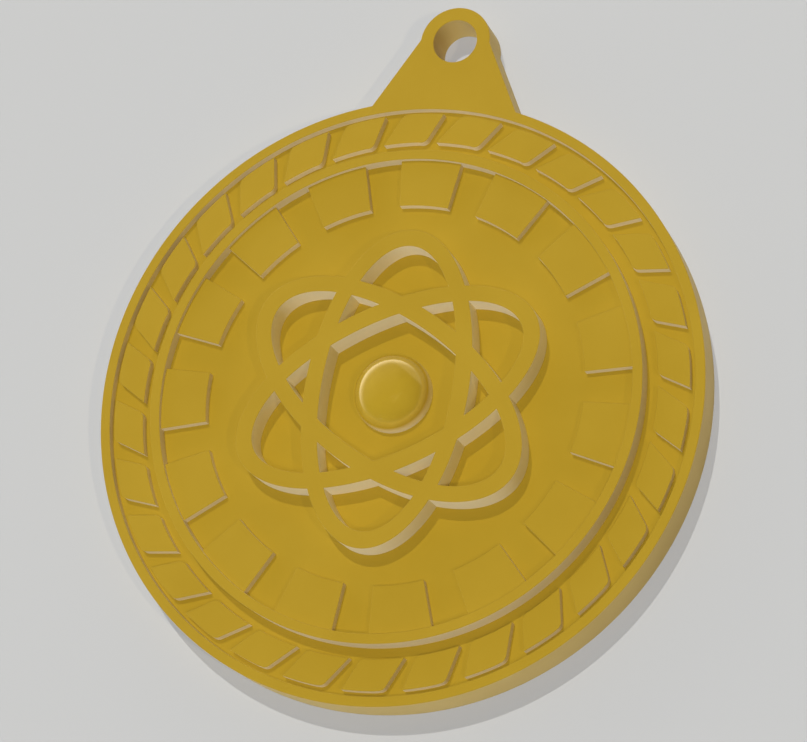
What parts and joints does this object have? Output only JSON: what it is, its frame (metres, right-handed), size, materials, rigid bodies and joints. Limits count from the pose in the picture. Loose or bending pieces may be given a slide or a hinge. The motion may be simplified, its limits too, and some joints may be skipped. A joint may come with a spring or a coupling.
{
  "type": "science medal",
  "caption": "Round cast award medal in gold-coloured metal with an atom in relief, a cog ring, a border of slanted teeth and a pierced suspension tab.",
  "frame": {"origin": "the middle of the disc's flat back face, the back_face mount", "axes": "+Z comes out of the relief side, +Y points from the middle of the disc to the suspension tab, +X to the right as the relief is seen with the tab up"},
  "size_m": [0.05, 0.0581, 0.0055],
  "materials": {
    "gilt_cast_brass": "satin gold-coloured cast brass, with the central boss a little more polished"
  },
  "bodies": {
    "root": {"medal": "gilt_cast_brass"}
  },
  "joints": []
}
